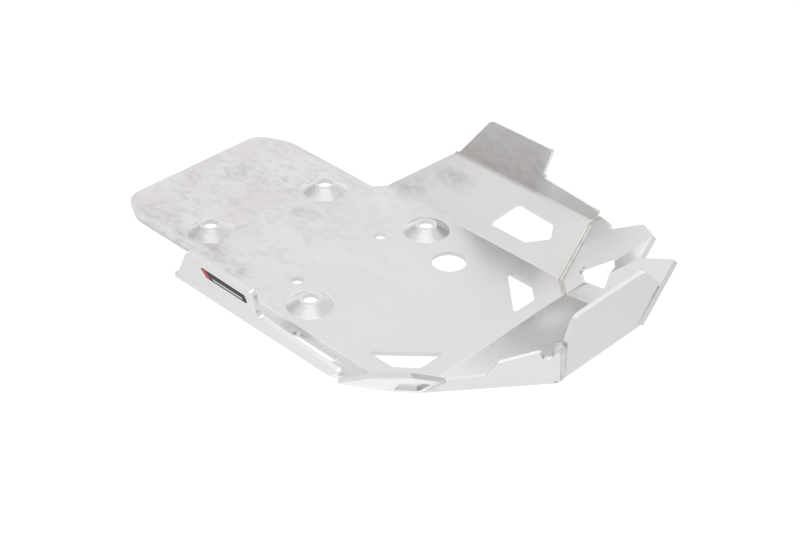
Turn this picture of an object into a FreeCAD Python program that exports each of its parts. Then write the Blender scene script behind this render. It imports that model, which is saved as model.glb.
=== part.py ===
import FreeCAD, Part
import math
import os
from FreeCAD import Vector

# Engine guard: a skid plate folded from one aluminium sheet, closed by four welds.
# Millimetres and degrees. +X is forward, +Y is the left side, +Z is up.
# While it is drawn, z = 0 is the floor's upper face and x = 0 is a line near its middle.

# Sheet and folds
sheet = 4.0
inside_bend = 4.0
floor_half_width = 100.0
side_slope = 33.5
side_width = 57.2
flange_slope = 75.7
ramp_slope = 25.5
front_bend_x = 167.5
front_face_x = 271.0
front_height = 97.5

# Rear tongue of the floor and swept rear edges of the side slopes
rear_x = -200.0
left_tongue_width = 89.8
right_tongue_width = 92.0
rear_cut_length = 30.5
rear_cut_width = 15.0
rear_corner_radius = 20.0
rear_shoulder_radius = 30.0
notch_radius = 9.0
notch_overlap = 20.0
left_notch_x = -60.0
right_notch_x = -89.7
rear_edge_sweep = 39.0

# Corner cuts where the welded side panels start
corner_cut_x = 152.0
corner_cut_y = 86.0

# Side flanges: a tall tab and a low strip each, heights on the inner face above the floor
tab_corner = 8.0
tab_step_radius = 4.0
tab_root_radius = 3.0
tab_front_setback = 4.0
low_end_radius = 6.0
left_tab_rear_x = -9.5
left_tab_rear_lean = 34.1
left_tab_front_x = 87.0
left_tab_height = 72.8
left_low_height = 47.3
left_low_end_height = 42.4
left_low_end_x = 146.5
right_tab_rear_x = -38.9
right_tab_rear_lean = 33.7
right_tab_front_x = 66.0
right_tab_height = 75.2
right_low_height = 49.5
right_low_end_height = 44.0
right_low_end_x = 151.0

# Front panel
front_bend = 1.5
front_foot = 5.0
front_corner_radius = 9.0
front_left_top = 41.0
front_left_wide = 65.5
front_left_wide_height = 73.0
front_right_top = 39.2
front_right_wide = 46.5
front_right_wide_height = 78.0

# Welded side panels: inner corner points as (along the fold, height up the facet)
rear_panel_slope = 46.5
seam_top = (-41.5, 40.0)
left_root_y = 43.5
left_tip_y = 77.0
left_tip_z = 90.6
left_lobe_rear = (-40.0, 50.5)
left_lobe_front = (-22.0, 57.5)
left_dip = (-13.1, 55.9)
left_peak = (13.7, 86.8)
left_shoulder = (35.0, 91.5)
left_step = (82.0, 47.8)
left_tip = (127.7, 55.0)
left_foot = (122.5, 0.0)
left_hole_rear = (3.5, 18.4)
left_hole_top = (20.8, 50.5)
left_hole_front = (44.2, 54.3)
left_hole_side = (59.8, 39.7)
left_hole_low = (22.0, 18.5)
right_root_y = 51.0
right_tip_z = 80.0
right_brow = (-14.0, 76.5)
right_shoulder = (14.0, 84.0)
right_step = (25.0, 7.5)
right_sill = (61.8, 9.0)
right_rise = (76.0, 19.2)
right_crest = (113.3, 25.6)
right_gap_rear = (114.8, 18.8)
right_gap_front = (120.0, 18.8)
right_tip = (132.4, 29.4)
right_foot = (120.3, 0.0)
right_hole_rear = (1.0, 14.0)
right_hole_top = (5.0, 52.0)
right_hole_front = (19.0, 55.0)
right_hole_side = (28.5, 30.0)
right_hole_low = (18.0, 13.0)
panel_corner = 4.0
panel_tip_radius = 2.0
hole_corner = 2.5

# Welds: gap between the sheets, bead radius and how proud the bead stands in front
side_weld_gap = 1.5
side_weld_radius = 2.6
side_weld_margin = 4.0
left_weld_gap = 2.0
left_weld_radius = 3.4
left_weld_proud = 0.0
right_weld_gap = 4.5
right_weld_radius = 5.0
right_weld_proud = 1.5
front_weld_margin = 2.0

# Bolts, holes and dimples
mount_bolt = 12.0
mount_clearance = 1.0
dimple_diameter = 40.0
dimple_top_diameter = 19.0
dimple_height = 6.7
dimple_bend = 3.0
small_bolt = 8.0
small_clearance = 2.0
drain_diameter = 30.0
rear_left_mount = (-86.0, 55.5)
rear_right_mount = (-107.0, -60.5)
front_left_mount = (22.5, 72.5)
front_right_mount = (31.5, -73.0)
left_small_hole = (1.0, 38.5)
right_small_hole = (-1.0, -57.5)
drain_hole = (68.5, 52.5)

# Cut-outs in the floor: place of the rear outer corner, then lengths
left_floor_cut_x = 111.0
left_floor_cut_y = 77.8
right_floor_cut_x = 107.0
right_floor_cut_y = 83.0
floor_cut_side = 27.5
floor_cut_bevel = 14.5
floor_cut_length = 43.5
floor_cut_width = 41.5
cut_corner = 3.5
cut_point = 2.0

# Cut-outs in the side slopes: place of the rear low corner, then lengths and heights up the slope
left_slope_cut_x = 59.5
right_slope_cut_x = 55.5
right_slope_cut_drop = 2.5
slope_cut_low = 13.5
slope_cut_low_length = 42.0
slope_cut_nose = (61.0, 26.5)
slope_cut_front = (54.0, 39.5)
slope_cut_rear = (12.0, 41.5)
slope_cut_round = 6.0

# Label on the right flange
label_thickness = 0.4
label_rear_x = 3.0
label_length = 51.0
label_low_height = 57.5
label_high_height = 66.0
label_slant = 5.0
label_corner = 1.0

up = Vector(0, 0, 1)
forward = Vector(1, 0, 0)
far = 2.0 * (front_face_x - rear_x)
inside_point = Vector(front_bend_x / 3, 0, far / 2)


def cosine(degrees):
    return math.cos(math.radians(degrees))


def sine(degrees):
    return math.sin(math.radians(degrees))


def tangent(degrees):
    return math.tan(math.radians(degrees))


def unit(vector):
    return Vector(vector) * (1.0 / vector.Length)


def mirrored(shape):
    return shape.mirror(Vector(0, 0, 0), Vector(0, 1, 0))


def swapped(point):
    return Vector(point.x, -point.y, point.z)


def corner(before, point, after, radius):
    """Start, middle and end of the arc that rounds one corner."""
    back = unit(before - point)
    forth = unit(after - point)
    half = back.getAngle(forth) / 2.0
    reach = radius / math.tan(half)
    inward = unit(back + forth)
    centre = point + inward * (radius / math.sin(half))
    return point + back * reach, centre - inward * radius, point + forth * reach


def path(points, radii):
    """Edges through the points, with every inner corner rounded by its radius."""
    edges = []
    last = points[0]
    for i in range(1, len(points) - 1):
        if radii[i] > 0:
            start, middle, end = corner(points[i - 1], points[i], points[i + 1], radii[i])
            edges.append(Part.makeLine(last, start))
            edges.append(Part.Arc(start, middle, end).toShape())
            last = end
        else:
            edges.append(Part.makeLine(last, points[i]))
            last = points[i]
    edges.append(Part.makeLine(last, points[-1]))
    return edges


def outline(points, radii):
    """Flat face inside a closed outline; a radius belongs to each point."""
    middle = (points[0] + points[-1]) * 0.5
    ring = [middle] + list(points) + [middle]
    return Part.Face(Part.Wire(path(ring, [0] + list(radii) + [0])))


def half_space(point, direction):
    """Large block on the side of the plane that the direction points to."""
    block = Part.makeBox(2 * far, 2 * far, far, Vector(-far, -far, 0))
    block.Placement = FreeCAD.Placement(point, FreeCAD.Rotation(up, direction))
    return block


def folded(points, bends, place, sweep):
    """Sheet bent along a path of (across, height) points and drawn out along a direction."""
    normals = []
    for (a, b), (c, d) in zip(points, points[1:]):
        length = math.hypot(c - a, d - b)
        normals.append(((d - b) / length, -(c - a) / length))
    outer = [(points[0][0] + normals[0][0] * sheet, points[0][1] + normals[0][1] * sheet)]
    for point, one, two in zip(points[1:-1], normals, normals[1:]):
        share = sheet / (1 + one[0] * two[0] + one[1] * two[1])
        outer.append((point[0] + (one[0] + two[0]) * share, point[1] + (one[1] + two[1]) * share))
    last = points[-1]
    outer.append((last[0] + normals[-1][0] * sheet, last[1] + normals[-1][1] * sheet))
    inner_points = [place(*p) for p in points]
    outer_points = [place(*p) for p in outer]
    edges = path(inner_points, bends)
    edges.append(Part.makeLine(inner_points[-1], outer_points[-1]))
    edges += path(outer_points, [bend + sheet for bend in bends])
    edges.append(Part.makeLine(inner_points[0], outer_points[0]))
    return Part.Face(Part.Wire(Part.__sortEdges__(edges))).extrude(sweep)


def plane_normal(a, b, c):
    """Unit normal of the plane through three points, towards the inside of the guard."""
    normal = unit((b - a).cross(c - a))
    return normal if normal.dot(inside_point - a) > 0 else normal * -1.0


def upward(vector):
    """Unit vector along the given line, pointing up."""
    return unit(vector) if vector.z > 0 else unit(vector) * -1.0


def panel(points, radii, normal):
    """Flat panel whose inner face has the given outline."""
    return outline(points, radii).extrude(normal * -sheet)


def fold_fill(start, end, normal_one, normal_two):
    """Outer rounding of the fold between two panels that share the edge start to end."""
    axis = unit(end - start)
    turn = math.degrees(normal_one.getAngle(normal_two))
    if axis.dot(normal_one.cross(normal_two)) < 0:
        turn = -turn
    strip = Part.Face(Part.makePolygon([start, end, end - normal_one * sheet, start - normal_one * sheet, start]))
    return strip.revolve(start, axis, turn)


# Corner points and directions shared by the folds, left side, on the inner faces
flange_y = floor_half_width + side_width * cosine(side_slope)
flange_z = side_width * sine(side_slope)
flange_root_z = flange_z + inside_bend * tangent((flange_slope - side_slope) / 2) * sine(flange_slope)
cut_start = Vector(corner_cut_x, floor_half_width, 0)
cut_end = Vector(front_bend_x, corner_cut_y, 0)
bend_start_x = front_bend_x - inside_bend * tangent(ramp_slope / 2)
front_inner_x = front_face_x - sheet
front_root_z = (front_inner_x - front_bend_x) * tangent(ramp_slope)
slope_normal = Vector(0, -sine(side_slope), cosine(side_slope))
slope_up = Vector(0, cosine(side_slope), sine(side_slope))
flange_normal = Vector(0, -sine(flange_slope), cosine(flange_slope))
flange_up = Vector(0, cosine(flange_slope), sine(flange_slope))
ramp_normal = Vector(-sine(ramp_slope), 0, cosine(ramp_slope))
cut_along = unit(cut_end - cut_start)
cut_outward = unit(up.cross(cut_along))
rear_normal = up * cosine(rear_panel_slope) - cut_outward * sine(rear_panel_slope)
rear_up = cut_outward * cosine(rear_panel_slope) + up * sine(rear_panel_slope)


def on_rear_facet(along, height):
    return cut_start + cut_along * along + rear_up * height


def on_flange(x, height):
    return Vector(x, flange_y, flange_z) + flange_up * ((height - flange_z) / flange_up.z)


class FrontFacet:
    """Inner plane of a side panel's front facet, drawn on the left side."""

    def __init__(self, root_y, tip_y, tip_z):
        self.root = Vector(front_inner_x, root_y, front_root_z)
        self.normal = plane_normal(cut_end, self.root, Vector(front_face_x, tip_y, tip_z))
        self.along = unit(self.root - cut_end)
        self.rise = upward(self.normal.cross(self.along))

    def spot(self, along, height):
        return cut_end + self.along * along + self.rise * height


left_facet = FrontFacet(left_root_y, left_tip_y, left_tip_z)
right_facet = FrontFacet(right_root_y, right_root_y, right_tip_z)


def tongue():
    """Rear half of the floor, with cut and rounded rear corners."""
    def side_points(width):
        return [Vector(rear_x, width - rear_cut_width, -sheet), Vector(rear_x + rear_cut_length, width, -sheet),
                Vector(0, width, -sheet)]
    points = side_points(left_tongue_width) + [swapped(p) for p in reversed(side_points(right_tongue_width))]
    radii = [rear_corner_radius, rear_shoulder_radius, 0]
    return outline(points, radii + radii[::-1]).extrude(up * sheet)


def trough():
    """Floor, side slopes and side flanges, before the outlines are cut."""
    top = on_flange(0, max(left_tab_height, right_tab_height) + sheet)
    left = [(floor_half_width, 0), (flange_y, flange_z), (top.y, top.z)]
    points = [(-y, z) for y, z in reversed(left)] + left
    bends = [inside_bend] * len(points)
    return folded(points, bends, lambda y, z: Vector(rear_x, y, z), forward * (bend_start_x - rear_x))


def plan_keep():
    """Floor and slopes as seen from above: notches and swept rear edges of the slopes."""
    low = -2 * sheet
    wide = flange_y + side_width

    def rear_edge(notch_x, width):
        return [Vector(notch_x - notch_overlap, width, low), Vector(notch_x, width, low),
                Vector(notch_x + tangent(rear_edge_sweep) * (wide - width), wide, low), Vector(far, wide, low)]
    right = [swapped(p) for p in reversed(rear_edge(right_notch_x, right_tongue_width))]
    radii = [0, notch_radius, 0, 0]
    return outline(rear_edge(left_notch_x, left_tongue_width) + right, radii + radii[::-1]).extrude(up * far)


def flange_waste(tab_rear, rear_lean, tab_front, tab_height, low, low_end, end_x):
    """What is cut away behind, above and in front of a flange, square to its sheet."""
    root = flange_root_z
    top_rear = tab_rear + tangent(rear_lean) * (tab_height - root)
    corners = [(-far, root), (tab_rear, root), (top_rear, tab_height), (tab_front, tab_height),
               (tab_front - tab_front_setback, low), (end_x, low_end), (end_x, root),
               (far, root), (far, far), (-far, far)]
    radii = [0, tab_root_radius, tab_corner, tab_step_radius, tab_step_radius, low_end_radius, 0, 0, 0, 0]
    points = [on_flange(*c) + flange_normal * sheet for c in corners]
    return outline(points, radii).extrude(flange_normal * (-3 * sheet))


def body():
    """Floor, slopes and flanges with their outlines, cut back from the side panels."""
    left = flange_waste(left_tab_rear_x, left_tab_rear_lean, left_tab_front_x, left_tab_height,
                        left_low_height, left_low_end_height, left_low_end_x)
    right = flange_waste(right_tab_rear_x, right_tab_rear_lean, right_tab_front_x, right_tab_height,
                         right_low_height, right_low_end_height, right_low_end_x)
    shape = trough().common(plan_keep()).cut([left, mirrored(right)])
    edge = cut_start + rear_normal * side_weld_gap
    waste = half_space(edge, rear_normal * -1.0)
    return shape.fuse(tongue()).cut([waste, mirrored(waste)])


def ramp():
    """Front of the floor, the ramp and the foot of the front panel."""
    points = [(corner_cut_x - corner_cut_y / 2, 0), (front_bend_x, 0), (front_inner_x, front_root_z),
              (front_inner_x, front_root_z + front_foot)]
    half = corner_cut_y + sheet / 2
    bends = [0, inside_bend, front_bend, 0]
    shape = folded(points, bends, lambda x, z: Vector(x, -half, z), Vector(0, 2 * half, 0))
    left = half_space(cut_end, ramp_normal.cross(left_facet.along))
    right = half_space(cut_end, ramp_normal.cross(right_facet.along))
    return shape.cut([left, mirrored(right)])


def front_panel():
    """Upright front panel with cut top corners, kept clear of the side panels it is welded to."""
    x = front_inner_x
    low = front_root_z + front_foot / 2
    points = [Vector(x, front_left_wide, low), Vector(x, front_left_wide, front_left_wide_height),
              Vector(x, front_left_top, front_height), Vector(x, -front_right_top, front_height),
              Vector(x, -front_right_wide, front_right_wide_height), Vector(x, -front_right_wide, low)]
    radii = [0, 0, front_corner_radius, front_corner_radius, front_corner_radius, 0]
    shape = outline(points, radii).extrude(forward * sheet)
    left = half_space(cut_end + left_facet.normal * left_weld_gap, left_facet.normal * -1.0)
    right = half_space(cut_end + right_facet.normal * right_weld_gap, right_facet.normal * -1.0)
    return shape.cut([left, mirrored(right)])


def side_panel(facet, rear_corners, front_corners, foot, hole):
    """Welded side panel, drawn on the left: rear facet, joggle and front facet, with one hole."""
    rear_points = [on_rear_facet(*c) for c in rear_corners]
    front_points = [facet.spot(*c) for c in front_corners]
    shoulder = rear_points[-1]
    step = front_points[0]
    rear_radii = [0] + [panel_corner] * (len(rear_points) - 1) + [0, 0]
    rear = panel([cut_start] + rear_points + [cut_end], rear_radii, rear_normal)
    joggle_normal = plane_normal(cut_end, step, shoulder)
    joggle = panel([cut_end, step, shoulder], [0, 0, 0], joggle_normal)
    front_radii = [0, 0] + [panel_tip_radius] * (len(front_points) - 1) + [0]
    front = panel([cut_end, facet.spot(*foot)] + front_points[::-1], front_radii, facet.normal)
    shape = rear.fuse([joggle, front,
                       fold_fill(cut_end, shoulder, rear_normal, joggle_normal),
                       fold_fill(cut_end, step, joggle_normal, facet.normal),
                       fold_fill(cut_end, facet.root, ramp_normal, facet.normal)])
    depth = side_width / 2
    hole_points = [on_rear_facet(*c) + rear_normal * depth for c in hole]
    return shape.cut(outline(hole_points, [hole_corner] * len(hole)).extrude(rear_normal * (-2 * depth)))


def left_panel():
    return side_panel(left_facet,
                      [seam_top, left_lobe_rear, left_lobe_front, left_dip, left_peak, left_shoulder],
                      [left_step, left_tip], left_foot,
                      [left_hole_rear, left_hole_top, left_hole_front, left_hole_side, left_hole_low])


def right_panel():
    return mirrored(side_panel(
        right_facet, [seam_top, right_brow, right_shoulder],
        [right_step, right_sill, right_rise, right_crest, right_gap_rear, right_gap_front, right_tip], right_foot,
        [right_hole_rear, right_hole_top, right_hole_front, right_hole_side, right_hole_low]))


def dimple(centre):
    """Pressed seat for a bolt: raised inside, hollow underneath, same wall as the sheet."""
    hole = (mount_bolt + mount_clearance) / 2
    outside = dimple_diameter / 2 + dimple_bend

    def skin(z):
        points = [Vector(outside, 0, z), Vector(dimple_diameter / 2, 0, z),
                  Vector(dimple_top_diameter / 2, 0, z + dimple_height), Vector(hole, 0, z + dimple_height)]
        return path(points, [0, dimple_bend, dimple_bend, 0])
    edges = skin(0) + skin(-sheet)
    edges.append(Part.makeLine(Vector(outside, 0, 0), Vector(outside, 0, -sheet)))
    edges.append(Part.makeLine(Vector(hole, 0, dimple_height), Vector(hole, 0, dimple_height - sheet)))
    shape = Part.Face(Part.Wire(Part.__sortEdges__(edges))).revolve(Vector(0, 0, 0), up, 360)
    shape.translate(Vector(*centre, 0))
    return shape


def post(centre, diameter):
    return Part.makeCylinder(diameter / 2, 4 * sheet, Vector(*centre, -2 * sheet))


def floor_cut(x, y):
    """Four-sided cut-out behind a front corner of the floor, drawn on the left."""
    points = [Vector(x, y, 0), Vector(x + floor_cut_side, y, 0),
              Vector(x + floor_cut_length, y - floor_cut_bevel, 0),
              Vector(x + floor_cut_length, y - floor_cut_width, 0)]
    face = outline([p - up * (2 * sheet) for p in points], [cut_point, cut_corner, cut_corner, cut_point])
    return face.extrude(up * (4 * sheet))


def slope_cut(x, drop):
    """Five-sided cut-out in a side slope, moved down it by the drop, drawn on the left."""
    corners = [(0, slope_cut_low), (slope_cut_low_length, slope_cut_low), slope_cut_nose, slope_cut_front,
               slope_cut_rear]
    base = Vector(x, floor_half_width, 0) - slope_normal * (2 * sheet)
    points = [base + forward * along + slope_up * (height - drop) for along, height in corners]
    radii = [cut_corner] * 4 + [slope_cut_round]
    return outline(points, radii).extrude(slope_normal * (4 * sheet))


def plate():
    """The folded sheet as one solid, weld gaps left open."""
    shape = body().fuse([ramp(), front_panel(), left_panel(), right_panel()])
    mounts = [rear_left_mount, rear_right_mount, front_left_mount, front_right_mount]
    shape = shape.cut([post(m, dimple_diameter + 2 * dimple_bend) for m in mounts])
    shape = shape.fuse([dimple(m) for m in mounts])
    small = small_bolt + small_clearance
    tools = [post(left_small_hole, small), post(right_small_hole, small), post(drain_hole, drain_diameter),
             floor_cut(left_floor_cut_x, left_floor_cut_y),
             mirrored(floor_cut(right_floor_cut_x, right_floor_cut_y)),
             slope_cut(left_slope_cut_x, 0), mirrored(slope_cut(right_slope_cut_x, right_slope_cut_drop))]
    return shape.cut(tools).removeSplitter()


def bead(points, radius, sheet_shape):
    """Weld bead along a path, fitted to the gap and ground flush with the floor's underside."""
    pieces = []
    for start, end in zip(points, points[1:]):
        pieces.append(Part.makeCylinder(radius, (end - start).Length, start, end - start))
    for point in points:
        pieces.append(Part.makeSphere(radius, point))
    rod = pieces[0].fuse(pieces[1:])
    rod = rod.cut([half_space(up * -sheet, up * -1.0), sheet_shape])
    return max(rod.Solids, key=lambda s: s.Volume)


def side_weld_path():
    """Along the gap between floor, side slope and side panel, drawn on the left."""
    middle = rear_normal * (side_weld_gap / 2)
    seam = upward(slope_normal.cross(rear_normal))
    start = cut_end - cut_along * side_weld_margin - up * (sheet / 2) + middle
    turn = cut_start - up * (sheet / 2) + middle
    end = cut_start + seam * (side_width - side_weld_margin) - slope_normal * (sheet / 2) + middle
    return [start, turn, end]


def front_weld_path(facet, gap, radius, proud, top):
    """Up the gap between front panel and side panel, drawn on the left."""
    seam = upward(facet.normal.cross(forward))
    foot = facet.root + facet.normal * (gap / 2)
    foot.x = front_face_x + proud - radius
    length = (top - radius - foot.z) / seam.z
    return [foot + seam * front_weld_margin, foot + seam * length]


def label():
    """Thin blank label on the outside of the right flange, drawn on the left."""
    def spot(x, height):
        return on_flange(x, height + sheet * flange_normal.z) - flange_normal * sheet
    front_x = label_rear_x + label_length
    points = [spot(label_rear_x + label_slant, label_low_height), spot(front_x, label_low_height),
              spot(front_x - label_corner, label_high_height - label_corner), spot(label_rear_x, label_high_height)]
    return mirrored(outline(points, [label_corner] * 4).extrude(flange_normal * -label_thickness))


guard = plate()
left_front_path = front_weld_path(left_facet, left_weld_gap, left_weld_radius, left_weld_proud,
                                  front_left_wide_height)
right_front_path = front_weld_path(right_facet, right_weld_gap, right_weld_radius, right_weld_proud,
                                   front_right_wide_height)
nodes = {
    "guard_plate": guard,
    "side_weld_left": bead(side_weld_path(), side_weld_radius, guard),
    "side_weld_right": bead([swapped(p) for p in side_weld_path()], side_weld_radius, guard),
    "front_weld_left": bead(left_front_path, left_weld_radius, guard),
    "front_weld_right": bead([swapped(p) for p in right_front_path], right_weld_radius, guard),
    "side_label": label(),
}

# The kept frame stands on the floor's underside, centred over the guard's length to a tenth of a millimetre
shift = Vector(-round(guard.BoundBox.Center.x, 1), 0, sheet)
print("shift", shift)
os.makedirs("parts", exist_ok=True)
for name, shape in nodes.items():
    shape.translate(shift)
    shape.exportStep("parts/" + name + ".step")
    print(name, len(shape.Solids), shape.isValid(), round(shape.Volume), shape.BoundBox)
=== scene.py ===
"""Looks of the engine guard: mill-finish aluminium, welds and a plain label, on a white floor.

Metres and degrees, in the part's own frame. +X is forward, +Y is the left side, +Z is up.
A step is a pair: the value where a mask starts and the value where it is full.
A span is a low end, a high end and how soft both ends are.
"""
import math

import bpy
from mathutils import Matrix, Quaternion, Vector


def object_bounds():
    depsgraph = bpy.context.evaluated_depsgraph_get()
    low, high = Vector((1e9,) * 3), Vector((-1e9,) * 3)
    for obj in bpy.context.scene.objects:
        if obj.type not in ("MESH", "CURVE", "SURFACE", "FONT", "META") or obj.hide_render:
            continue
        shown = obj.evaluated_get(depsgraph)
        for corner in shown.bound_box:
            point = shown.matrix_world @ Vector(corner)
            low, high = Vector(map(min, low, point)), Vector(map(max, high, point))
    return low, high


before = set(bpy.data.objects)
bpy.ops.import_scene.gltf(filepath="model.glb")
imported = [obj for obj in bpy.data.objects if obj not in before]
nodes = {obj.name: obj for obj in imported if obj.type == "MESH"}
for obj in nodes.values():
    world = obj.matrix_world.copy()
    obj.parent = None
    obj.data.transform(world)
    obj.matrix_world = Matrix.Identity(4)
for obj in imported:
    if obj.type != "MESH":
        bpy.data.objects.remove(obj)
cad_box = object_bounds()

# Camera
image_width = 800
focal_pixels = 1650
sensor_width = 36.0
camera_place = Vector((0.7861, -0.8029, 0.8000))
camera_yaw = 133.49
camera_pitch = 35.14
camera_roll = 1.23

# Light: strengths at the back, on the right, behind the camera and on the left.
# Each ring takes over from the one below between two heights on the unit sphere.
backdrop_heading = camera_yaw
sky_low = (1.36, 0.75, 1.00, 1.05)
sky_rings = [((0.18, 0.45), (1.10, 1.00, 1.00, 0.95)),
             ((0.55, 0.75), (1.09, 0.97, 1.00, 1.08)),
             ((0.88, 0.97), (1.46, 1.46, 1.46, 1.46))]
sky_colour = (0.995, 0.995, 1.0, 1)

# A darker gap between the backdrop and the left light; its step is in cosines from its middle
gap_heading = 183.0
gap_pitch = 31.0
gap_step = (0.88, 0.98)
gap_depth = 0.22

# Floor: it glows, with strengths on the same four sides
floor_sides = (1.16, 1.03, 1.14, 1.05)
floor_colour = (0.985, 1.0, 1.0, 1)
floor_size = 12.0
floor_drop = 0.0005

# Noise: scale, detail and stretch along X, Y and Z
mottle_noise = (110.0, 8.0, (1.0, 1.6, 1.6))
streak_noise = (30.0, 8.0, (1.0, 2.2, 2.2))
cloud_noise = (16.0, 5.0, (1, 1, 1))
wave_noise = (30.0, 1.0, (1, 1, 1))
bead_grain_noise = (700.0, 4.0, (1, 1, 1))
bead_patch_noise = (160.0, 3.0, (1, 1, 1))
film_noise = (400.0, 3.0, (1, 1, 1))

# Sheet, and what all materials share
plate_colour = (0.680, 0.678, 0.680, 1)
plate_roughness = (0.23, 0.28)
plate_bump = 0.15
roughness_step = (0.3, 0.7)
bump_distance = 0.0005

# Pinkish clouds and grey streaks, mostly to the rear; the clouds also on the side slopes
pink_colour = (0.655, 0.628, 0.630, 1)
# The grey of the streaks and smears also paints shade on the dimple flanks
dirt_and_shade_colour = (0.47, 0.445, 0.440, 1)
rear_step_x = (0.03, -0.15)
rear_strength = (0.08, 1.0)
slope_step_y = (0.08, 0.11)
slope_step_z = (0.040, 0.036)
slope_strength = 0.8
cloud_step = (0.44, 0.60)
streak_step = (0.48, 0.62)
streak_strength = 0.34
mottle_share = 0.60

# Smears on the floor: middle, half length and half width; their step is in half sizes
smears = [((-0.197, -0.075), 0.024, 0.020),
          ((-0.153, -0.080), 0.028, 0.012),
          ((-0.115, -0.077), 0.026, 0.013),
          ((-0.082, -0.082), 0.014, 0.010),
          ((-0.199, 0.024), 0.014, 0.018),
          ((-0.105, 0.014), 0.016, 0.010),
          ((-0.068, 0.108), 0.018, 0.012),
          ((-0.035, 0.130), 0.020, 0.008)]
smear_step = (1.3, 0.2)
smear_streak_step = (0.36, 0.60)
smear_strength = 0.7

# Outline of an old sticker: middle and half size
residue_colour = (0.52, 0.52, 0.56, 1)
residue_middle = (-0.182, 0.026)
residue_size = (0.025, 0.014)
residue_turn = 3.0
residue_line_width = 0.0016
residue_film_rim = 0.003
residue_film_strength = 0.45
residue_mottle_step = (0.40, 0.62)
residue_strength = (0.1, 0.8)

# Sloping flanks of the dimples, darkened with painted shade
flank_span_up = (0.78, 0.93, 0.02)
flank_span_z = (0.0045, 0.0105, 0.0004)
flank_span_y = (-0.097, 0.097, 0.002)
flank_step_x = (0.10, 0.09)
flank_shade_strength = 0.14

# Left tab darkened: painted shade, with a brownish dirt tint
tab_shade_colour = (0.46, 0.442, 0.430, 1)
tab_step_y = (0.1455, 0.148)
tab_step_x = (0.060, 0.040)
tab_mottle_step = (0.35, 0.65)
tab_shade_strength = (1.0, 0.75)

# Front darkened with painted shade
front_shade_colour = (0.61, 0.608, 0.600, 1)
front_shade_step_ahead = (0.6, 0.8)
front_shade_step_x = (0.15, 0.17)
front_shade_strength = 0.65

# Painted highlights on the top edges, without the ramp, and on the strips at the joggles
edge_highlight_colour = (0.755, 0.755, 0.76, 1)
highlight_step_up = (0.75, 0.82)
highlight_step_y = (0.150, 0.153)
highlight_step_z = (0.036, 0.042)
ramp_normal = (-0.43, 0.0, 0.90)
highlight_normals = [(-0.69, -0.24, 0.68), (0.69, 0.56, 0.46)]
same_normal_step = (0.985, 0.995)

# Sawn walls of the holes in the floor, darkened with painted shade
wall_shade_colour = (0.40, 0.395, 0.390, 1)
wall_step_up = (0.3, 0.1)
wall_step_z = (0.0115, 0.0105)
wall_shade_strength = 0.25

# Heat tint beside the left side weld, whose seam runs through three points
heat_colour = (0.68, 0.63, 0.50, 1)
left_seam = [Vector((0.1306, 0.086, 0.003)),
             Vector((0.1151, 0.100, 0.003)),
             Vector((0.1050, 0.1465, 0.034))]
heat_step = (0.009, 0.002)
heat_strength = 0.5
heat_mottle_step = (0.35, 0.6)

# Weld beads
weld_nodes = ("side_weld_left", "side_weld_right", "front_weld_left", "front_weld_right")
bead_colour = (0.64, 0.637, 0.63, 1)
bead_patch_colour = (0.56, 0.55, 0.53, 1)
bead_patch_step = (0.40, 0.65)
bead_roughness = (0.32, 0.5)
bead_bump = 0.30
soot_colour = (0.34, 0.32, 0.30, 1)
soot_step = (0.55, 0.72)
soot_strength = 0.4
ripple_scale = 170.0
ripple_distortion = 2.5
ripple_detail = 2.0
grain_height = 0.6

# Label film and its plain print; X of the print is taken at half the bar's height
film_colour = (0.010, 0.010, 0.012, 1)
film_fleck_colour = (0.022, 0.022, 0.024, 1)
film_roughness = (0.42, 0.52)
film_specular = 0.25
block_colour = (0.50, 0.035, 0.05, 1)
block_x = (-0.031, -0.025)
bar_colour = (0.55, 0.55, 0.56, 1)
bar_x = (-0.021, 0.013)
bar_z = (0.0632, 0.0652)
print_lean = 0.45
print_rim = 0.0003


def add(tree, kind, inputs=None, **settings):
    """New node; each input is a constant or a socket to link."""
    made = tree.nodes.new(kind)
    for name, value in settings.items():
        setattr(made, name, value)
    for key, value in (inputs or {}).items():
        if isinstance(value, bpy.types.NodeSocket):
            tree.links.new(value, made.inputs[key])
        else:
            made.inputs[key].default_value = value
    return made


def new_material(name):
    """Material with a surface shader; gives it with its tree, shader and object coordinates."""
    material = bpy.data.materials.new(name)
    material.use_nodes = True
    tree = material.node_tree
    tree.nodes.clear()
    shader = add(tree, "ShaderNodeBsdfPrincipled")
    add(tree, "ShaderNodeOutputMaterial", {"Surface": shader.outputs[0]})
    place = add(tree, "ShaderNodeTexCoord").outputs["Object"]
    return material, tree, shader, place


def noise(tree, place, scale, detail, stretch):
    """Cloudy noise around one half."""
    mapped = add(tree, "ShaderNodeMapping", {"Vector": place, "Scale": stretch})
    made = add(tree, "ShaderNodeTexNoise", {"Vector": mapped.outputs[0], "Scale": scale, "Detail": detail})
    return made.outputs["Fac"]


def spread(tree, value, start, end, to_start=0.0, to_end=1.0):
    """Value mapped from start..end to to_start..to_end, held at both ends."""
    made = add(tree, "ShaderNodeMapRange", {"Value": value, "From Min": start, "From Max": end,
                                            "To Min": to_start, "To Max": to_end})
    return made.outputs[0]


def math_node(tree, operation, one, two=0.0):
    """Result of one sum on numbers."""
    return add(tree, "ShaderNodeMath", {0: one, 1: two}, operation=operation).outputs[0]


def times(tree, first, *others):
    """Product of masks and strengths."""
    product = first
    for other in others:
        product = math_node(tree, "MULTIPLY", product, other)
    return product


def vector_node(tree, operation, one, two=(0, 0, 0)):
    """Result of one sum on vectors."""
    made = add(tree, "ShaderNodeVectorMath", {0: one, 1: two}, operation=operation)
    return made.outputs["Value" if operation in ("DOT_PRODUCT", "LENGTH") else "Vector"]


def axis_of(tree, vector, axis):
    """X, Y or Z of a vector, by 0, 1 or 2."""
    return add(tree, "ShaderNodeSeparateXYZ", {0: vector}).outputs[axis]


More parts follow.
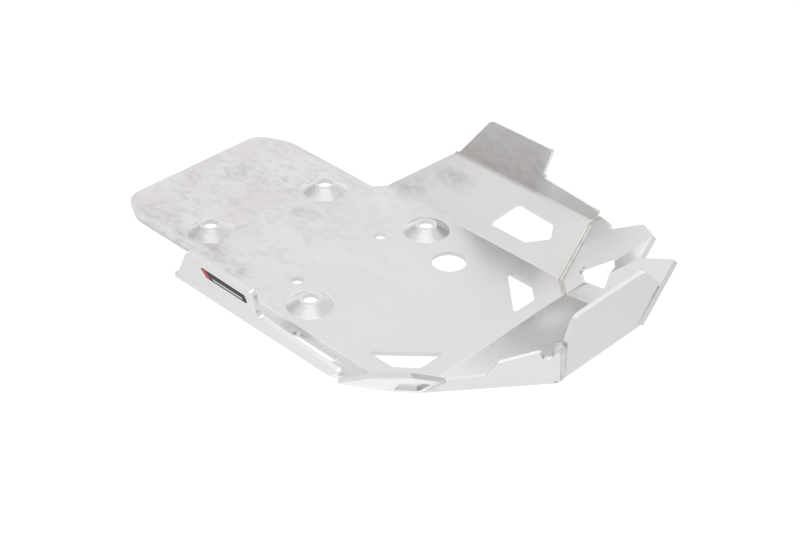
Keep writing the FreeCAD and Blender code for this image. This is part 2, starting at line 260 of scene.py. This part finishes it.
def mix_colours(tree, factor, one, two):
    """One colour eased into another."""
    return add(tree, "ShaderNodeMix", {0: factor, 6: one, 7: two}, data_type="RGBA").outputs[2]


def mix_values(tree, factor, one, two):
    """One value eased into another."""
    return add(tree, "ShaderNodeMix", {0: factor, 2: one, 3: two}).outputs[0]


def between(tree, value, low, high, soft):
    """1 from low to high, eased to 0 outside."""
    rise = spread(tree, value, low - soft, low + soft)
    fall = spread(tree, value, high - soft, high + soft, 1.0, 0.0)
    return times(tree, rise, fall)


def distance_to_line(tree, place, start, end):
    """Distance from the shaded point to the stretch between two points."""
    along = end - start
    offset = vector_node(tree, "SUBTRACT", place, start)
    share = vector_node(tree, "DOT_PRODUCT", offset, along / along.length_squared)
    share = spread(tree, share, 0.0, 1.0)
    foot = add(tree, "ShaderNodeVectorMath", {0: along, "Scale": share}, operation="SCALE").outputs[0]
    return vector_node(tree, "LENGTH", vector_node(tree, "SUBTRACT", offset, foot))


def pointing(tree, facing, normal):
    """1 where a face points along the normal."""
    return spread(tree, vector_node(tree, "DOT_PRODUCT", facing, normal), *same_normal_step)


def smear_mask(tree, place, streaks):
    """Dark smears of handling dirt, broken up by the streaks."""
    total = 0.0
    for middle, length, width in smears:
        offset = vector_node(tree, "SUBTRACT", place, (*middle, 0))
        offset = vector_node(tree, "MULTIPLY", offset, (1 / length, 1 / width, 0))
        inside = spread(tree, vector_node(tree, "LENGTH", offset), *smear_step)
        total = math_node(tree, "MAXIMUM", inside, total)
    return times(tree, total, spread(tree, streaks, *smear_streak_step), smear_strength)


def residue_mask(tree, place, mottle):
    """Thin dirty outline and faint film left where a sticker was pulled off."""
    middle = (*residue_middle, 0)
    turn = (0, 0, math.radians(residue_turn))
    turned = add(tree, "ShaderNodeMapping", {"Vector": place, "Location": middle, "Rotation": turn},
                 vector_type="TEXTURE")
    offset = vector_node(tree, "ABSOLUTE", turned.outputs[0])
    offset = vector_node(tree, "SUBTRACT", offset, (*residue_size, 0))
    edge = math_node(tree, "MAXIMUM", axis_of(tree, offset, 0), axis_of(tree, offset, 1))
    line = spread(tree, math_node(tree, "ABSOLUTE", edge), 0.0, residue_line_width, 1.0, 0.0)
    film = spread(tree, edge, 0.0, -residue_film_rim, 0.0, residue_film_strength)
    broken = spread(tree, mottle, *residue_mottle_step, *residue_strength)
    return times(tree, math_node(tree, "MAXIMUM", line, film), broken)


def stained(tree, place, colour, mottle, streaks):
    """Pinkish clouds, grey streaks, smears of dirt and the outline of an old sticker."""
    rearward = spread(tree, axis_of(tree, place, 0), *rear_step_x, *rear_strength)
    aside = math_node(tree, "ABSOLUTE", axis_of(tree, place, 1))
    sideward = spread(tree, aside, *slope_step_y, 0.0, slope_strength)
    sideward = times(tree, sideward, spread(tree, axis_of(tree, place, 2), *slope_step_z))
    cloud = spread(tree, noise(tree, place, *cloud_noise), *cloud_step)
    cloud = times(tree, cloud, math_node(tree, "MAXIMUM", rearward, sideward))
    colour = mix_colours(tree, cloud, colour, pink_colour)
    streaks = mix_values(tree, mottle_share, streaks, mottle)
    streaked = spread(tree, streaks, *streak_step, 0.0, streak_strength)
    colour = mix_colours(tree, times(tree, streaked, rearward), colour, dirt_and_shade_colour)
    colour = mix_colours(tree, smear_mask(tree, place, streaks), colour, dirt_and_shade_colour)
    return mix_colours(tree, residue_mask(tree, place, mottle), colour, residue_colour)


def flank_shade_mask(tree, place, facing):
    """Painted shade on the sloping flanks of the dimples."""
    sloping = between(tree, axis_of(tree, facing, 2), *flank_span_up)
    raised = between(tree, axis_of(tree, place, 2), *flank_span_z)
    on_floor = between(tree, axis_of(tree, place, 1), *flank_span_y)
    behind_ramp = spread(tree, axis_of(tree, place, 0), *flank_step_x)
    return times(tree, sloping, raised, on_floor, behind_ramp, flank_shade_strength)


def tab_shade_mask(tree, place, mottle):
    """Painted shade on the left tab, with the rear of the flange that carries it."""
    outward = spread(tree, axis_of(tree, place, 1), *tab_step_y)
    rearward = spread(tree, axis_of(tree, place, 0), *tab_step_x)
    return times(tree, outward, rearward, spread(tree, mottle, *tab_mottle_step, *tab_shade_strength))


def front_shade_mask(tree, place, facing):
    """Painted shade on the faces of the nose that point forward."""
    ahead = spread(tree, axis_of(tree, facing, 0), *front_shade_step_ahead)
    return times(tree, ahead, spread(tree, axis_of(tree, place, 0), *front_shade_step_x), front_shade_strength)


def edge_highlight_mask(tree, place, facing):
    """Painted highlights on the top edges of the nose and flanges, the front edges of the flanges, and the
    strips at the joggles.
    """
    aside = spread(tree, math_node(tree, "ABSOLUTE", axis_of(tree, place, 1)), *highlight_step_y)
    outer = math_node(tree, "MAXIMUM", aside, spread(tree, axis_of(tree, place, 2), *highlight_step_z))
    ahead = times(tree, axis_of(tree, facing, 0), aside)
    painted_highlight = spread(tree, math_node(tree, "MAXIMUM", axis_of(tree, facing, 2), ahead), *highlight_step_up)
    off_ramp = math_node(tree, "SUBTRACT", 1.0, pointing(tree, facing, ramp_normal))
    painted_highlight = times(tree, painted_highlight, outer, off_ramp)
    for normal in highlight_normals:
        painted_highlight = math_node(tree, "MAXIMUM", painted_highlight, pointing(tree, facing, normal))
    return painted_highlight


def wall_shade_mask(tree, place, facing):
    """Painted shade on the upright sawn walls at the height of the floor and its dimples."""
    upright = spread(tree, math_node(tree, "ABSOLUTE", axis_of(tree, facing, 2)), *wall_step_up)
    return times(tree, upright, spread(tree, axis_of(tree, place, 2), *wall_step_z), wall_shade_strength)


def shade_and_highlights(tree, place, colour, mottle):
    """Painted shade on the dimple flanks, the left tab (with a brownish dirt tint), the front and the sawn
    walls, and painted highlights on the top edges.
    """
    facing = add(tree, "ShaderNodeNewGeometry").outputs["True Normal"]
    colour = mix_colours(tree, flank_shade_mask(tree, place, facing), colour, dirt_and_shade_colour)
    colour = mix_colours(tree, tab_shade_mask(tree, place, mottle), colour, tab_shade_colour)
    colour = mix_colours(tree, front_shade_mask(tree, place, facing), colour, front_shade_colour)
    colour = mix_colours(tree, edge_highlight_mask(tree, place, facing), colour, edge_highlight_colour)
    return mix_colours(tree, wall_shade_mask(tree, place, facing), colour, wall_shade_colour)


def heat_mask(tree, place, mottle):
    """Close to either stretch of the left side weld."""
    low = distance_to_line(tree, place, left_seam[0], left_seam[1])
    high = distance_to_line(tree, place, left_seam[1], left_seam[2])
    near = spread(tree, math_node(tree, "MINIMUM", low, high), *heat_step, 0.0, heat_strength)
    return times(tree, near, spread(tree, mottle, *heat_mottle_step))


def set_metal(tree, shader, colour, rough, height, bump_strength):
    """Bare metal with its colour, roughness and relief."""
    tree.links.new(colour, shader.inputs["Base Color"])
    shader.inputs["Metallic"].default_value = 1.0
    tree.links.new(rough, shader.inputs["Roughness"])
    relief = {"Height": height, "Strength": bump_strength, "Distance": bump_distance}
    bump = add(tree, "ShaderNodeBump", relief)
    tree.links.new(bump.outputs[0], shader.inputs["Normal"])


def aluminium():
    """Rolled sheet with a gentle waviness, stained, with painted shade and highlights, and heat tinted
    beside the left weld.
    """
    material, tree, shader, place = new_material("mill_aluminium")
    mottle = noise(tree, place, *mottle_noise)
    streaks = noise(tree, place, *streak_noise)
    wave = noise(tree, place, *wave_noise)
    colour = stained(tree, place, plate_colour, mottle, streaks)
    colour = shade_and_highlights(tree, place, colour, mottle)
    colour = mix_colours(tree, heat_mask(tree, place, mottle), colour, heat_colour)
    rough = spread(tree, wave, *roughness_step, *plate_roughness)
    set_metal(tree, shader, colour, rough, wave, plate_bump)
    return material


def weld_metal():
    """Weld bead: rippled, grainy and slightly sooted."""
    material, tree, shader, place = new_material("weld_aluminium")
    grain = noise(tree, place, *bead_grain_noise)
    patch = noise(tree, place, *bead_patch_noise)
    colour = mix_colours(tree, spread(tree, patch, *bead_patch_step), bead_colour, bead_patch_colour)
    colour = mix_colours(tree, spread(tree, grain, *soot_step, 0.0, soot_strength), colour, soot_colour)
    rough = spread(tree, grain, *roughness_step, *bead_roughness)
    waves = {"Vector": place, "Scale": ripple_scale, "Distortion": ripple_distortion,
             "Detail": ripple_detail}
    ripple = add(tree, "ShaderNodeTexWave", waves, bands_direction="Z")
    height = math_node(tree, "ADD", ripple.outputs["Fac"], times(tree, grain, grain_height))
    set_metal(tree, shader, colour, rough, height, bead_bump)
    return material


def label_film():
    """Black printed film with a plain red block and a plain pale bar, no letters."""
    material, tree, shader, place = new_material("label_film")
    fleck = noise(tree, place, *film_noise)
    height = axis_of(tree, place, 2)
    slanted = math_node(tree, "ADD", axis_of(tree, place, 0), times(tree, height, print_lean))
    shift = print_lean * sum(bar_z) / 2
    block = between(tree, slanted, block_x[0] + shift, block_x[1] + shift, print_rim)
    bar = between(tree, slanted, bar_x[0] + shift, bar_x[1] + shift, print_rim)
    bar = times(tree, bar, between(tree, height, *bar_z, print_rim))
    colour = mix_colours(tree, fleck, film_colour, film_fleck_colour)
    colour = mix_colours(tree, block, colour, block_colour)
    colour = mix_colours(tree, bar, colour, bar_colour)
    tree.links.new(colour, shader.inputs["Base Color"])
    rough = spread(tree, fleck, *roughness_step, *film_roughness)
    tree.links.new(rough, shader.inputs["Roughness"])
    shader.inputs["Specular IOR Level"].default_value = film_specular
    return material


def dress(node, material):
    """Give a CAD node one material."""
    node.data.materials.clear()
    node.data.materials.append(material)


def direction(heading, pitch):
    """Unit vector by heading and by pitch above the horizon."""
    around = math.radians(heading)
    rise = math.radians(pitch)
    return Vector((math.cos(rise) * math.cos(around), math.cos(rise) * math.sin(around), math.sin(rise)))


def make_camera():
    """Camera at the photo's viewing angle."""
    data = bpy.data.cameras.new("camera")
    data.sensor_width = sensor_width
    data.lens = sensor_width * focal_pixels / image_width
    forward = direction(camera_yaw, -camera_pitch)
    turn = forward.to_track_quat("-Z", "Y") @ Quaternion((0, 0, 1), math.radians(camera_roll))
    camera = bpy.data.objects.new("camera", data)
    camera.location = camera_place
    camera.rotation_mode = "QUATERNION"
    camera.rotation_quaternion = turn
    bpy.context.scene.collection.objects.link(camera)
    bpy.context.scene.camera = camera


def four_sides(tree, vector, strengths):
    """Strength by compass side, eased from one side to the next; the first side is the backdrop."""
    flat = vector_node(tree, "NORMALIZE", vector_node(tree, "MULTIPLY", vector, (1, 1, 0)))
    total = 0.0
    for side, strength in enumerate(strengths):
        toward = direction(backdrop_heading - 90 * side, 0.0)
        facing = math_node(tree, "MAXIMUM", vector_node(tree, "DOT_PRODUCT", flat, toward), 0.0)
        total = math_node(tree, "ADD", times(tree, facing, facing, strength), total)
    return total


def make_floor():
    """White glowing table top that shows no hard shadow."""
    half = floor_size / 2
    low = cad_box[0].z - floor_drop
    corners = [(-half, -half, low), (half, -half, low), (half, half, low), (-half, half, low)]
    mesh = bpy.data.meshes.new("floor")
    mesh.from_pydata(corners, [], [(0, 1, 2, 3)])
    floor = bpy.data.objects.new("floor", mesh)
    bpy.context.scene.collection.objects.link(floor)
    material = bpy.data.materials.new("white_floor")
    material.use_nodes = True
    tree = material.node_tree
    tree.nodes.clear()
    place = add(tree, "ShaderNodeTexCoord").outputs["Object"]
    strength = four_sides(tree, place, floor_sides)
    glow = add(tree, "ShaderNodeEmission", {"Color": floor_colour, "Strength": strength})
    add(tree, "ShaderNodeOutputMaterial", {"Surface": glow.outputs[0]})
    mesh.materials.append(material)


def make_world():
    """Soft studio: a large light overhead, a bright low backdrop and a darker gap to its left."""
    world = bpy.data.worlds.new("studio")
    world.use_nodes = True
    bpy.context.scene.world = world
    tree = world.node_tree
    place = add(tree, "ShaderNodeTexCoord").outputs["Generated"]
    height = axis_of(tree, place, 2)
    strength = four_sides(tree, place, sky_low)
    for step, sides in sky_rings:
        strength = mix_values(tree, spread(tree, height, *step), strength, four_sides(tree, place, sides))
    toward_gap = vector_node(tree, "DOT_PRODUCT", place, direction(gap_heading, gap_pitch))
    strength = times(tree, strength, spread(tree, toward_gap, *gap_step, 1.0, 1.0 - gap_depth))
    sky = tree.nodes["Background"]
    sky.inputs["Color"].default_value = sky_colour
    tree.links.new(strength, sky.inputs["Strength"])


bpy.context.scene.view_settings.view_transform = "Standard"
dress(nodes["guard_plate"], aluminium())
dress(nodes["side_label"], label_film())
weld_finish = weld_metal()
for name in weld_nodes:
    dress(nodes[name], weld_finish)
make_floor()
make_world()
make_camera()
